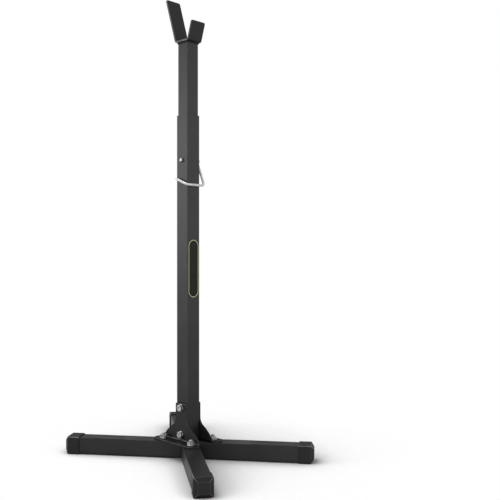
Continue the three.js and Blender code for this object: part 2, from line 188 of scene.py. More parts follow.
# Sizes that follow from the ones above
OUTER_HALF = OUTER_WIDTH / 2
LEG_TOP = LEG_UNDERSIDE + LEG_WIDTH
OUTER_TOP = LEG_TOP + OUTER_LENGTH
INNER_TOP = OUTER_TOP + REST_EXPOSURE
PIN_HEIGHT = OUTER_TOP - PIN_DROP
LABEL_MIDDLE = LEG_TOP + LABEL_RISE + LABEL_HEIGHT / 2
CAP_LENGTH = CAP_SLEEVE + CAP_BEVEL_DEPTH
LEG_END = LEG_REACH - CAP_BEVEL_DEPTH - CAP_FLOOR - CLEARANCE
WIRE_PLANE = OUTER_HALF + WIRE_STAND_OFF
WIRE_HEAD_X = OUTER_HALF + WIRE_OFFSET
QUARTER = math.pi / 2
HEADINGS = {
    "right": ARM_ANGLE - QUARTER,
    "rear": QUARTER - ARM_ANGLE,
    "left": QUARTER + ARM_ANGLE,
    "front": -QUARTER - ARM_ANGLE,
}


# Directions and curves
def ray(heading):
    """The level direction of a heading."""
    return Vector((math.cos(heading), math.sin(heading), 0))


def curve_point(start, control, end, share):
    """A point on the curve from start to end that is drawn towards control."""
    rest = 1 - share
    return start * rest**2 + control * 2 * share * rest + end * share**2


# Selecting and placing
def only(piece):
    bpy.ops.object.select_all(action="DESELECT")
    piece.select_set(True)
    bpy.context.view_layer.objects.active = piece


def settle(piece):
    only(piece)
    bpy.ops.object.transform_apply(location=True, rotation=True, scale=True)


def place(piece, at=(0, 0, 0), turn=(0, 0, 0)):
    piece.location = at
    piece.rotation_euler = turn
    settle(piece)


def place_on_axis(piece, at, along):
    """The piece, made along +Z, points along another axis."""
    turn = Vector((0, 0, 1)).rotation_difference(Vector(along))
    piece.matrix_world = Matrix.Translation(at) @ turn.to_matrix().to_4x4()
    settle(piece)


def copy_of(piece):
    only(piece)
    bpy.ops.object.duplicate(linked=False)
    return bpy.context.object


def discard(*pieces):
    for piece in pieces:
        bpy.data.objects.remove(piece)


def edit(piece):
    only(piece)
    bpy.ops.object.mode_set(mode="EDIT")


def edit_all(piece):
    edit(piece)
    bpy.ops.mesh.select_all(action="SELECT")


def leave_edit():
    bpy.ops.object.mode_set(mode="OBJECT")


def pick(piece, kind, wanted):
    """Selects in edit mode the faces or edges that pass a test."""
    edit(piece)
    bpy.ops.mesh.select_mode(type=kind)
    bpy.ops.mesh.select_all(action="DESELECT")
    leave_edit()
    mesh = piece.data
    if kind == "FACE":
        for face in mesh.polygons:
            face.select = wanted(face.center, face.normal)
    else:
        for side in mesh.edges:
            start, end = (mesh.vertices[i].co for i in side.vertices)
            side.select = wanted((start + end) / 2, (end - start).normalized())
    edit(piece)


# Modifiers that are applied at once
def apply_modifier(piece, kind, **settings):
    only(piece)
    modifier = piece.modifiers.new(kind, kind)
    for name, value in settings.items():
        setattr(modifier, name, value)
    bpy.ops.object.modifier_apply(modifier=modifier.name)


def carve(piece, tool, operation="DIFFERENCE"):
    apply_modifier(piece, "BOOLEAN", object=tool, operation=operation, solver="EXACT")
    discard(tool)


def ease_edges(piece, width, segments=EDGE_STEPS):
    apply_modifier(
        piece,
        "BEVEL",
        width=width,
        segments=segments,
        limit_method="ANGLE",
        angle_limit=EDGE_ANGLE,
        use_clamp_overlap=True,
    )


# Steps in edit mode
def draw_out(step):
    """Extrudes what is selected."""
    bpy.ops.mesh.extrude_region_move(TRANSFORM_OT_translate={"value": step})


def resize(shares, centre):
    """Resizes what is selected, about a centre that stays where it is."""
    bpy.ops.transform.resize(value=shares, center_override=centre)


def round_edges(piece, radius, steps, wanted):
    """Rounds the edges that pass a test."""
    pick(piece, "EDGE", wanted)
    bpy.ops.mesh.bevel(offset=radius, segments=steps, affect="EDGES")
    leave_edit()


def merge_doubles(piece):
    edit_all(piece)
    bpy.ops.mesh.remove_doubles()
    leave_edit()
    face_outwards(piece)


def face_outwards(piece):
    edit_all(piece)
    bpy.ops.mesh.normals_make_consistent(inside=False)
    leave_edit()


# Marks that the finishes read
def mark_edges_for_wear_and_highlight(piece):
    """Attribute edge: 1 on the narrow faces that round the edges off, 0 on the broad ones."""
    mesh = piece.data
    broad = set()
    for face in mesh.polygons:
        corners = [mesh.vertices[i].co for i in face.vertices]
        around = sum((corners[i] - corners[i - 1]).length for i in range(len(corners)))
        width = 2 * face.area / around
        if width > NARROW_FACE:
            broad.update(face.vertices)
    marks = mesh.attributes.new("edge", "FLOAT", "POINT")
    for vertex in mesh.vertices:
        marks.data[vertex.index].value = float(vertex.index not in broad)


def mark_own_run(piece):
    """Attribute own: where each point is in the piece's own frame, before the piece is turned."""
    marks = piece.data.attributes.new("own", "FLOAT_VECTOR", "POINT")
    for vertex in piece.data.vertices:
        marks.data[vertex.index].vector = vertex.co


# Last work on a piece
def finish(piece, name, material, body, nodes):
    """Gives a piece its name, shading, finish and body, and the nodes that it replaces."""
    piece.name = name
    piece.data.name = name
    if "edge" not in piece.data.attributes:
        mark_edges_for_wear_and_highlight(piece)
    only(piece)
    bpy.ops.object.shade_smooth_by_angle(angle=SMOOTH_ANGLE)
    apply_modifier(piece, "WEIGHTED_NORMAL", keep_sharp=True)
    piece.data.materials.clear()
    piece.data.materials.append(material)
    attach(piece, body)
    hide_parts(*nodes)


# Basic shapes
def block(size, centre):
    bpy.ops.object.select_all(action="DESELECT")
    bpy.ops.mesh.primitive_cube_add(size=1, location=centre)
    piece = bpy.context.object
    piece.scale = size
    settle(piece)
    return piece


def plate(size, centre, turn):
    """A flat rectangle of one face, its size given before it is turned."""
    bpy.ops.object.select_all(action="DESELECT")
    bpy.ops.mesh.primitive_plane_add(size=1, rotation=turn)
    piece = bpy.context.object
    piece.scale = (*size, 1)
    piece.location = centre
    settle(piece)
    return piece


def turned(stations, sides=ROUND_SIDES):
    """A turned piece along +Z from (radius, height) stations."""
    radius, height = stations[0]
    bpy.ops.object.select_all(action="DESELECT")
    bpy.ops.mesh.primitive_circle_add(
        vertices=sides, radius=radius, fill_type="NGON", location=(0, 0, height)
    )
    piece = bpy.context.object
    settle(piece)
    edit(piece)
    bpy.ops.mesh.select_mode(type="FACE")
    bpy.ops.mesh.select_all(action="SELECT")
    for next_radius, next_height in stations[1:]:
        draw_out((0, 0, next_height - height))
        share = next_radius / radius
        resize((share, share, 1), (0, 0, next_height))
        radius, height = next_radius, next_height
    leave_edit()
    face_outwards(piece)
    return piece


def rod(radius, reach):
    """A plain round tool for holes, which reaches equally far up and down."""
    return turned([(radius, -reach), (radius, reach)], HOLE_SIDES)


def joined(pieces):
    bpy.ops.object.select_all(action="DESELECT")
    for piece in pieces:
        piece.select_set(True)
    bpy.context.view_layer.objects.active = pieces[0]
    bpy.ops.object.join()
    return bpy.context.object


def square_bar(width, corner, low, high):
    """A solid square bar along Z with rounded corners."""
    bar = block((width, width, high - low), (0, 0, (low + high) / 2))
    round_edges(bar, corner, CORNER_STEPS, lambda middle, along: abs(along.z) > FACING_SHARE)
    return bar


def square_tube(width, wall, corner, low, high):
    tube = square_bar(width, corner, low, high)
    bore_corner = max(corner - wall, wall * BORE_CORNER_SHARE)
    carve(tube, square_bar(width - 2 * wall, bore_corner, low - wall, high + wall))
    return tube


# Posts
def outer_tube():
    tube = square_tube(OUTER_WIDTH, OUTER_WALL, OUTER_CORNER, LEG_TOP, OUTER_TOP)
    hole = rod(PIN_HOLE_RADIUS, OUTER_WIDTH)
    place_on_axis(hole, (0, 0, PIN_HEIGHT), (1, 0, 0))
    carve(tube, hole)
    ease_edges(tube, FINE_EDGE)
    return tube


def inner_tube():
    low = INNER_TOP - INNER_LENGTH
    tube = square_tube(INNER_WIDTH, INNER_WALL, INNER_CORNER, low, INNER_TOP)
    holes = []
    for i in range(HOLE_COUNT):
        hole = rod(INNER_HOLE_RADIUS, INNER_WIDTH)
        place_on_axis(hole, (0, 0, low + INNER_TAIL + i * HOLE_PITCH), (1, 0, 0))
        holes.append(hole)
    carve(tube, joined(holes))
    ease_edges(tube, FINE_EDGE)
    return tube


# Legs run along +X in the frame of their arm
def leg_tube(start, end):
    tube = square_tube(LEG_WIDTH, LEG_WALL, LEG_CORNER, start, end)
    place(tube, (0, 0, LEG_UNDERSIDE + LEG_WIDTH / 2), (0, QUARTER, 0))
    return tube


def long_leg():
    leg = leg_tube(-LEG_END, LEG_END)
    mark_own_run(leg)
    place(leg, turn=(0, 0, HEADINGS["right"]))
    return leg


def half_leg(heading):
    """A half leg is cut off askew at the flat side of the long leg."""
    leg = leg_tube(0, LEG_END)
    place(leg, turn=(0, 0, heading))
    along = ray(HEADINGS["right"])
    across = Vector((-along.y, along.x, 0))
    if across.dot(ray(heading)) < 0:
        across.negate()
    edit_all(leg)
    side_plane = across * (LEG_WIDTH / 2 + CLEARANCE)
    bpy.ops.mesh.bisect(plane_co=side_plane, plane_no=across, clear_inner=True, use_fill=True)
    leave_edit()
    return leg


# End cap along +X, its bevelled end outwards
def mark_cap_corner_highlights(cap):
    """The four long corners of a cap get a painted highlight along their middle, down to its end face.
    """
    lightened, flat_ends = set(), set()
    for face in cap.data.polygons:
        low, high = sorted((abs(face.normal.y), abs(face.normal.z)))
        if high < SLANT_SHARE:
            flat_ends.update(face.vertices)
        elif low > high * FACING_SHARE:
            lightened.update(face.vertices)
    marks = cap.data.attributes["edge"].data
    for i in lightened - flat_ends:
        # These corner faces are marked for a painted highlight
        marks[i].value = max(marks[i].value, CAP_HIGHLIGHT_SHARE)


def end_cap():
    half = CAP_WIDTH / 2
    cap = block((CAP_SLEEVE, CAP_WIDTH, CAP_WIDTH), (CAP_SLEEVE / 2, 0, half))
    round_edges(cap, CAP_CORNER, CORNER_STEPS, lambda middle, along: abs(along.x) > FACING_SHARE)
    pick(cap, "FACE", lambda centre, normal: normal.x > FACING_SHARE)
    draw_out((CAP_BEVEL_DEPTH, 0, 0))
    share = (CAP_WIDTH - 2 * CAP_BEVEL_MARGIN) / CAP_WIDTH
    resize((1, share, share), (CAP_LENGTH, 0, half))
    leave_edit()
    ease_edges(cap, CAP_RIDGE, RIDGE_STEPS)
    pick(cap, "FACE", lambda centre, normal: normal.x < -FACING_SHARE and centre.x < CAP_RIDGE / 2)
    bpy.ops.mesh.inset(thickness=CAP_WALL - CAP_RIDGE)
    draw_out((CAP_SLEEVE - CAP_FLOOR, 0, 0))
    leave_edit()
    face_outwards(cap)
    mark_edges_for_wear_and_highlight(cap)
    mark_cap_corner_highlights(cap)
    return cap


# Bracket in the frame where the post's face is x = 0 and the legs' top is z = 0
def bell_stations():
    """(half width, height) of the bell, from its foot up: a full curve, then the neck's arc."""
    turn_end = Vector((
        OUTER_HALF + BELL_NECK_RADIUS * (1 - math.cos(BELL_NECK_TURN)),
        BELL_SHOULDER_HEIGHT - BELL_NECK_RADIUS * math.sin(BELL_NECK_TURN),
    ))
    foot = Vector((BELL_FOOT_HALF, SHEET))
    chord = turn_end - foot
    outward = Vector((chord.y, -chord.x)).normalized()
    control = foot + chord / 2 + outward * 2 * BELL_BULGE
    stations = []
    for i in range(1, ARC_STEPS):
        stations.append(tuple(curve_point(foot, control, turn_end, i / ARC_STEPS)))
    for i in range(ARC_STEPS + 1):
        angle = BELL_NECK_TURN * (1 - i / ARC_STEPS)
        half = OUTER_HALF + BELL_NECK_RADIUS * (1 - math.cos(angle))
        stations.append((half, BELL_SHOULDER_HEIGHT - BELL_NECK_RADIUS * math.sin(angle)))
    for i in range(CORNER_STEPS + 1):
        angle = QUARTER * i / CORNER_STEPS
        half = OUTER_HALF - BELL_TOP_CORNER * (1 - math.cos(angle))
        stations.append((half, BELL_HEIGHT - BELL_TOP_CORNER * (1 - math.sin(angle))))
    return [(half, height) for half, height in stations if height > SHEET + SHEET_BEND]


def flange_stations():
    """(half width, reach) of the flange, from the bend outwards, round its two corners."""
    start = SHEET + SHEET_BEND
    stations = []
    for i in range(1, CORNER_STEPS + 1):
        angle = QUARTER * i / CORNER_STEPS
        half = BELL_FOOT_HALF + FLANGE_BACK_CORNER * math.sin(angle)
        stations.append((half, start + FLANGE_BACK_CORNER * (1 - math.cos(angle))))
    for i in range(ARC_STEPS + 1):
        angle = QUARTER * i / ARC_STEPS
        half = FLANGE_HALF - FLANGE_FRONT_CORNER * (1 - math.cos(angle))
        stations.append((half, FLANGE_REACH - FLANGE_FRONT_CORNER * (1 - math.sin(angle))))
    return stations


def draw_edge_on(stations, direction):
    """Draws the picked edge on through (half width, reach) stations, from the first to the last."""
    for (half, reach), (next_half, next_reach) in zip(stations, stations[1:]):
        step = direction * (next_reach - reach)
        bpy.ops.mesh.extrude_edges_move(TRANSFORM_OT_translate={"value": step})
        share = next_half / half
        resize((1, share, 1), direction * next_reach)


def mark_inner_bend_highlight(sheet):
    """A painted highlight along the hollow of the bend, which lightens it as the edge mark lightens an
    edge.
    """
    bent, flat = set(), set()
    for face in sheet.data.polygons:
        hollow = face.normal.x > SLANT_SHARE and face.normal.z > SLANT_SHARE
        (bent if hollow else flat).update(face.vertices)
    marks = sheet.data.attributes["edge"].data
    # The bend's faces are marked for a painted highlight
    for i in bent - flat:
        marks[i].value = max(marks[i].value, BEND_HIGHLIGHT_SHARE)


def bracket():
    """A strip between bend and bell, drawn on down and out as the flange, then up as the bell."""
    bend = SHEET + SHEET_BEND
    upright = bell_stations()
    half, height = upright[0]
    near_top = height - FINE_EDGE
    sheet = plate((height - bend, 2 * half), (0, 0, (height + bend) / 2), (0, QUARTER, 0))
    pick(sheet, "EDGE", lambda middle, along: abs(along.y) > FACING_SHARE and middle.z < near_top)
    share = BELL_FOOT_HALF / half
    resize((1, share, 1), (0, 0, bend))
    bpy.ops.mesh.spin(steps=CORNER_STEPS, angle=QUARTER, center=(bend, 0, bend), axis=(0, 1, 0))
    draw_edge_on([(BELL_FOOT_HALF, bend)] + flange_stations(), Vector((1, 0, 0)))
    leave_edit()
    pick(sheet, "EDGE", lambda middle, along: abs(along.y) > FACING_SHARE and middle.z > near_top)
    draw_edge_on(upright, Vector((0, 0, 1)))
    leave_edit()
    merge_doubles(sheet)
    top = max(sheet.data.polygons, key=lambda face: face.center.z)
    if top.normal.x < 0:
        edit_all(sheet)
        bpy.ops.mesh.flip_normals()
        leave_edit()
    apply_modifier(sheet, "SOLIDIFY", thickness=SHEET, offset=1, use_even_offset=True)
    ease_edges(sheet, SHEET_EDGE)
    mark_edges_for_wear_and_highlight(sheet)
    mark_inner_bend_highlight(sheet)
    return sheet


# Fasteners stand on z = 0, along +Z
def hex_block(height, both_ends):
    """A hexagon block whose corners are chamfered by turning, at the top or at both ends.

    The turned tool reaches past the block's ends, so that no face of it lies in theirs.
    """
    corner = HEX_FLATS / math.sqrt(3)
    prism = turned([(corner, 0), (corner, height)], HEX_SIDES)
    ease_edges(prism, PART_EDGE)
    rim = HEX_FLATS / 2 * HEX_CHAMFER_SHARE
    spread = corner * (2 - HEX_CHAMFER_SHARE)
    drop = (spread - rim) * math.tan(HEX_CHAMFER_ANGLE)
    tip = rim - PART_EDGE / math.tan(HEX_CHAMFER_ANGLE)
    low = tip if both_ends else spread
    cone = turned([
        (low, -PART_EDGE),
        (spread, drop),
        (spread, height - drop),
        (tip, height + PART_EDGE),
    ])
    carve(prism, cone, "INTERSECT")
    return prism


def thread_stations(end):
    """Ridges and roots of the thread down from the bolt's end, given from the low end up."""
    root = BOLT_RADIUS - THREAD_DEPTH
    stations = [(root, end), (BOLT_RADIUS, end - STUB_CHAMFER)]
    count = round(THREAD_RUN / THREAD_PITCH)
    for i in range(count):
        low = end - STUB_CHAMFER - THREAD_PITCH * (i + 1)
        stations.append((root, low + THREAD_PITCH / 2))
        stations.append((BOLT_RADIUS, low))
    return stations[::-1]


def bolt(length):
    shank = turned([(BOLT_RADIUS, -HEAD_HEIGHT / 2)] + thread_stations(length))
    head = hex_block(HEAD_HEIGHT, False)
    place(head, turn=(math.pi, 0, 0))
    return joined([shank, head])


def bored(piece, height):
    carve(piece, rod(BORE_RADIUS, 2 * height))
    return piece


def nut():
    return bored(hex_block(NUT_HEIGHT, True), NUT_HEIGHT)


def washer(radius):
    rim = radius - PART_EDGE
    disc = turned([
        (rim, 0),
        (radius, PART_EDGE),
        (radius, WASHER_THICKNESS - PART_EDGE),
        (rim, WASHER_THICKNESS),
    ])
    return bored(disc, WASHER_THICKNESS)


# Lock pin along +X, turned along +Z first
def wire_slant():
    return math.atan2(WIRE_PLANE, WIRE_DROP)


def lock_pin():
    tip = -OUTER_HALF - PIN_TIP_OUT
    collar = OUTER_HALF + CLEARANCE
    head = collar + PIN_COLLAR_LENGTH
    end = head + PIN_HEAD_LENGTH
    collar_rim = PIN_COLLAR_RADIUS - PART_EDGE
    waist = PIN_HEAD_RADIUS - PIN_GROOVE
    pin = turned([
        (PIN_NOSE_RADIUS, tip),
        (PIN_TIP_RADIUS, tip + PIN_NOSE_LENGTH),
        (PIN_RADIUS, tip + PIN_TIP_LENGTH),
        (PIN_RADIUS, collar),
        (collar_rim, collar),
        (PIN_COLLAR_RADIUS, collar + PART_EDGE),
        (PIN_COLLAR_RADIUS, head - PART_EDGE),
        (collar_rim, head),
        (waist, head),
        (waist, head + PIN_GROOVE),
        (PIN_HEAD_RADIUS, head + 2 * PIN_GROOVE),
        (PIN_HEAD_RADIUS, end - PIN_HEAD_CHAMFER),
        (PIN_HEAD_RADIUS - PIN_HEAD_CHAMFER, end),
    ])
    ease_edges(pin, PART_EDGE)
    place_on_axis(pin, (0, 0, PIN_HEIGHT), (1, 0, 0))
    hole = rod(WIRE_RADIUS + CLEARANCE, 2 * PIN_HEAD_RADIUS)
    place(hole, (WIRE_HEAD_X, 0, PIN_HEIGHT), (-wire_slant(), 0, 0))
    carve(pin, hole)
    return pin


def bent_points(corners, bend):
    """Points along straight stretches that are joined by round bends."""
    points = [corners[0]]
    for before, corner, after in zip(corners, corners[1:], corners[2:]):
        enter = corner + (before - corner).normalized() * bend
        leave = corner + (after - corner).normalized() * bend
        for i in range(ARC_STEPS + 1):
            points.append(curve_point(enter, corner, leave, i / ARC_STEPS))
    points.append(corners[-1])
    return points


def wire_clip():
    slant = wire_slant()
    corners = [
        Vector((WIRE_HEAD_X, WIRE_STUB * math.sin(slant), WIRE_STUB * math.cos(slant))),
        Vector((WIRE_HEAD_X, -WIRE_PLANE, -WIRE_DROP)),
        Vector((-WIRE_PLANE, -WIRE_PLANE, -WIRE_DROP)),
        Vector((-WIRE_PLANE, WIRE_END_ACROSS, -WIRE_END_DROP)),
    ]
    points = bent_points(corners, WIRE_BEND)
    line = bpy.data.curves.new("wire", "CURVE")
    line.dimensions = "3D"
    line.bevel_depth = WIRE_RADIUS
    line.bevel_resolution = CORNER_STEPS
    line.use_fill_caps = True
    spline = line.splines.new("POLY")
    spline.points.add(len(points) - 1)
    for spot, point in zip(spline.points, points):
        spot.co = (*point, 1)
    wire = bpy.data.objects.new("wire", line)
    bpy.context.collection.objects.link(wire)
    only(wire)
    bpy.ops.object.convert(target="MESH")
    wire = bpy.context.object
    merge_doubles(wire)
    ease_edges(wire, WIRE_END_ROUND, RIDGE_STEPS)
    place(wire, (0, 0, PIN_HEIGHT))
    return wire


# Saddle: a strap drawn from the middle of its flat, first one way and then the other
def draw_arm(strap, rise, side):
    turn = QUARTER - SADDLE_LEAN
    inner = STRAP_BEND
    outer = STRAP_BEND + STRAP_THICKNESS
    bend_y = SADDLE_FLAT_HALF - inner * math.tan(turn / 2)

    def at_end(centre, normal):
        return side * normal.y > FACING_SHARE and abs(centre.y) < STRAP_BEND

    pick(strap, "FACE", at_end)
    draw_out((0, side * (bend_y - FINE_EDGE), 0))
    centre = (0, side * bend_y, INNER_TOP + outer)
    bpy.ops.mesh.spin(steps=CORNER_STEPS, angle=-side * turn, center=centre, axis=(1, 0, 0))
    bend_end = Vector((bend_y + inner * math.sin(turn), outer - inner * math.cos(turn)))
    arm_end = Vector((SADDLE_FLAT_HALF + rise * math.tan(SADDLE_LEAN), STRAP_THICKNESS + rise))
    stretch = arm_end - bend_end
    draw_out((0, side * stretch.x, stretch.y))
    leave_edit()


def saddle():
    centre = (0, -FINE_EDGE, INNER_TOP + STRAP_THICKNESS / 2)
    strap = plate((STRAP_WIDTH, STRAP_THICKNESS), centre, (QUARTER, 0, 0))
    edit_all(strap)
    draw_out((0, 2 * FINE_EDGE, 0))
    leave_edit()
    face_outwards(strap)
    draw_arm(strap, TALL_ARM_RISE, 1)
    draw_arm(strap, SHORT_ARM_RISE, -1)
    face_outwards(strap)
    return strap


def round_arm_ends(strap):
    """Rounds the corners of both free ends across the strap."""

    def at_end(middle, along):
        rise = TALL_ARM_RISE if middle.y > 0 else SHORT_ARM_RISE
        slanted = abs(along.x) < FACING_SHARE and abs(along.z) < FACING_SHARE
        return slanted and middle.z > INNER_TOP + rise

    round_edges(strap, STRAP_CORNER, ARC_STEPS, at_end)


def mark_cut_side_highlights(strap):
    """The cut sides of the strap get the full edge mark, which paints a highlight on them as on the
    edges.
    """
    marks = strap.data.attributes["edge"].data
    for face in strap.data.polygons:
        if abs(face.normal.x) > FACING_SHARE:
            # Painted highlight on the cut sides
            for i in face.vertices:
                marks[i].value = 1.0


def finished_saddle():
    strap = saddle()
    round_arm_ends(strap)
    ease_edges(strap, SHEET_EDGE)
    mark_edges_for_wear_and_highlight(strap)
    mark_cut_side_highlights(strap)
    return strap


# Weld beads: overlapping ripples along a line, melted together
def bead(start, end, radius):
    run = end - start
    bpy.ops.object.select_all(action="DESELECT")
    bpy.ops.mesh.primitive_uv_sphere_add(segments=BEAD_SIDES, ring_count=BEAD_SIDES // 2, radius=radius)
    ripple = bpy.context.object
    ripple.scale = (1, 1, BEAD_LENGTH_SHARE)
    settle(ripple)
    count = round(run.length / (radius * BEAD_STEP_SHARE))
    gap = (0, 0, run.length / count)
    apply_modifier(
        ripple,
        "ARRAY",
        count=count,
        use_relative_offset=False,
        use_constant_offset=True,
        constant_offset_displace=gap,
    )
    place_on_axis(ripple, start + run / (2 * count), run.normalized())
    return ripple


def melted(beads):
    """One bead whose edges get neither wear nor painted highlight: its attribute edge stays 0."""
    weld = joined(beads)
    apply_modifier(weld, "REMESH", mode="VOXEL", voxel_size=BEAD_VOXEL)
    weld.data.attributes.new("edge", "FLOAT", "POINT")
    return weld


def saddle_weld():
    half = INNER_WIDTH / 2 + SADDLE_BEAD * BEAD_SINK_SHARE
    height = INNER_TOP - SADDLE_BEAD * (1 - BEAD_SINK_SHARE)
    corners = [(-1, -1), (1, -1), (1, 1), (-1, 1)]
    places = [Vector((x * half, y * half, height)) for x, y in corners]
    return melted([bead(places[i - 1], places[i], SADDLE_BEAD) for i in range(len(places))])


def leg_weld(long_side, half_side):
    """A bead up the corner between the sides of the long leg and a half leg."""
    long_ray = ray(HEADINGS[long_side])
    half_ray = ray(HEADINGS[half_side])
    between = long_ray.angle(half_ray)
    root = (long_ray + half_ray) * LEG_WIDTH / 2 / math.sin(between)
    out = (long_ray + half_ray).normalized() * LEG_BEAD * BEAD_SINK_SHARE
    low = Vector((0, 0, LEG_UNDERSIDE + LEG_CORNER))
    high = Vector((0, 0, LEG_TOP - LEG_CORNER))
    return melted([bead(root + out + low, root + out + high, LEG_BEAD)])


# Label film on the post's -Y face
def label():
    film = plate((LABEL_WIDTH, LABEL_HEIGHT), (0, -OUTER_HALF, LABEL_MIDDLE), (QUARTER, 0, 0))
    edit_all(film)
    reach = LABEL_WIDTH / 2 - PART_EDGE
    bpy.ops.mesh.bevel(offset=reach, segments=2 * ARC_STEPS, affect="VERTICES")
    leave_edit()
    apply_modifier(film, "SOLIDIFY", thickness=LABEL_THICKNESS, offset=1)
    return film


# Node trees
def feed(tree, socket, value):
    """Links a socket to a value's socket, or sets its plain value."""
    if isinstance(value, bpy.types.NodeSocket):
        tree.links.new(value, socket)
    else:
        socket.default_value = value


def calc(tree, operation, first, second=0.0, clamp=False):
    node = tree.nodes.new("ShaderNodeMath")
    node.operation = operation
    node.use_clamp = clamp
    feed(tree, node.inputs[0], first)
    feed(tree, node.inputs[1], second)
    return node.outputs[0]


def scaled(tree, value, factor, start, clamp=False):
    """The value times factor, counted from start."""
    return calc(tree, "ADD", calc(tree, "MULTIPLY", value, factor), start, clamp)


# Places of a Mix node's colour sockets, which share their names with other sockets
MIX_FIRST = 6
MIX_SECOND = 7
MIX_COLOUR = 2


def blend_colours(tree, share, first, second):
    node = tree.nodes.new("ShaderNodeMix")
    node.data_type = "RGBA"
    feed(tree, node.inputs["Factor"], share)
    feed(tree, node.inputs[MIX_FIRST], first)
    feed(tree, node.inputs[MIX_SECOND], second)
    return node.outputs[MIX_COLOUR]


def band(tree, value, low, high):
    """0 below low, 1 above high, with a smooth step between."""
    node = tree.nodes.new("ShaderNodeMapRange")
    node.interpolation_type = "SMOOTHSTEP"
    feed(tree, node.inputs["Value"], value)
    feed(tree, node.inputs["From Min"], low)
    feed(tree, node.inputs["From Max"], high)
    return node.outputs["Result"]


def noise(tree, at, scale, layers, roughness):
    node = tree.nodes.new("ShaderNodeTexNoise")
    feed(tree, node.inputs["Vector"], at)
    feed(tree, node.inputs["Scale"], scale)
    node.inputs["Detail"].default_value = layers
    node.inputs["Roughness"].default_value = roughness
    return node.outputs["Fac"]


def squeezed(tree, at, axes):
    """Places multiplied along each axis: by more than 1 to squeeze a pattern, by less to stretch it."""
    node = tree.nodes.new("ShaderNodeVectorMath")
    node.operation = "MULTIPLY"
    feed(tree, node.inputs[0], at)
    feed(tree, node.inputs[1], axes)
    return node.outputs[0]


def bump(tree, height, strength, distance):
    """Relief of a given strength, whose full height is distance."""
    node = tree.nodes.new("ShaderNodeBump")
    node.inputs["Strength"].default_value = strength
    node.inputs["Distance"].default_value = distance
    feed(tree, node.inputs["Height"], height)
    return node.outputs["Normal"]


def object_place(tree):
    return tree.nodes.new("ShaderNodeTexCoord").outputs["Object"]


def attribute(tree, name):
    node = tree.nodes.new("ShaderNodeAttribute")
    node.attribute_name = name
    return node.outputs


def axis_parts(tree, direction):
    node = tree.nodes.new("ShaderNodeSeparateXYZ")
    feed(tree, node.inputs[0], direction)
    return node.outputs


def upward_share(tree):
    """1 on faces that look straight up, down to 0 on upright faces and below."""
    normal = tree.nodes.new("ShaderNodeNewGeometry").outputs["Normal"]
    return calc(tree, "MAXIMUM", axis_parts(tree, normal)["Z"], 0.0)


def new_group(name, inputs, outputs):
    group = bpy.data.node_groups.new(name, "ShaderNodeTree")
    for socket_name, value in inputs.items():
        socket = group.interface.new_socket(socket_name, in_out="INPUT", socket_type="NodeSocketFloat")
        socket.default_value = value
    for socket_name in outputs:
        group.interface.new_socket(socket_name, in_out="OUTPUT", socket_type="NodeSocketFloat")
    ins = group.nodes.new("NodeGroupInput").outputs
    outs = group.nodes.new("NodeGroupOutput").inputs
    return group, ins, outs


def use_group(tree, group, **values):
    node = tree.nodes.new("ShaderNodeGroup")
    node.node_tree = group
    for name, value in values.items():
        feed(tree, node.inputs[name], value)
    return node.outputs


def new_material(name):
    material = bpy.data.materials.new(name)
    material.use_nodes = True
    tree = material.node_tree
    return material, tree, tree.nodes["Principled BSDF"].inputs


# Inputs of the shared effects, with the values at which they start
GRAIN_INPUTS = {"Scale": 850.0}
WEAR_AND_HIGHLIGHT_INPUTS = {"Amount": 0.6, "Upright": 0.3}
DUST_INPUTS = {"Amount": 0.3}
LINE_INPUTS = {"Scale": 900.0, "Stretch": 12.0}
STREAK_INPUTS = {"Amount": 0.5}

# Patterns of noise: cells per metre unless an input gives them, finer layers, and their strength
PEBBLE_LAYERS = (3.0, 0.55)
COAT_SWELL = (160.0, 1.0, 0.5)
COAT_TONE = (9.0, 5.0, 0.6)
COAT_SPECKS = (620.0, 1.0, 0.5)
WORN_PATCHES = (55.0, 4.0, 0.65)
DUST_DRIFT = (28.0, 6.0, 0.7)
TOOL_LINE_LAYERS = (3.0, 0.6)
METAL_STAINS = (120.0, 4.0, 0.6)
STREAKS = (1.0, 2.0, 0.4)
STREAK_SQUEEZE = (16.0, 170.0, 170.0)
PLASTIC_TONE = (22.0, 4.0, 0.6)
PLASTIC_CELLS = 1300.0
INK_GRAIN = (2400.0, 2.0, 0.5)
FILM_TONE = (70.0, 4.0, 0.5)
FILM_SCUFFS = (260.0, 4.0, 0.7)

# Bands: the values from which an effect sets in, and at which it is full
TONE_BAND = (0.3, 0.7)
SPECK_BAND = (0.72, 0.8)
PATCH_BAND = (0.3, 0.65)
EDGE_BAND = (0.15, 0.9)
UPWARD_BAND = (0.5, 1.0)
DUST_BAND = (0.3, 0.75)
STREAK_BAND = (0.5, 0.64)
STAIN_BAND = (0.35, 0.7)
UNSHADED_BAND = (0.35, 0.92)

# Share of the coat's relief that is pebbles, and share of the wear that comes in patches
PEBBLE_SHARE = 0.7
PATCH_SHARE = 0.55

# How much more the wear and painted highlight lighten an edge that looks straight up than one that
# stands upright
UPWARD_WEAR_AND_HIGHLIGHT = 1.3


# Shared effects
def make_coat_grain():
    """The pebbled skin of baked powder, its slow tone changes and its few light specks."""
    group, ins, outs = new_group("coat grain", GRAIN_INPUTS, ["Height", "Tone", "Speck"])
    at = object_place(group)
    pebbles = noise(group, at, ins["Scale"], *PEBBLE_LAYERS)
    swell = calc(group, "MULTIPLY", noise(group, at, *COAT_SWELL), 1 - PEBBLE_SHARE)
    feed(group, outs["Height"], scaled(group, pebbles, PEBBLE_SHARE, swell))
    feed(group, outs["Tone"], noise(group, at, *COAT_TONE))
    feed(group, outs["Speck"], band(group, noise(group, at, *COAT_SPECKS), *SPECK_BAND))
    return group


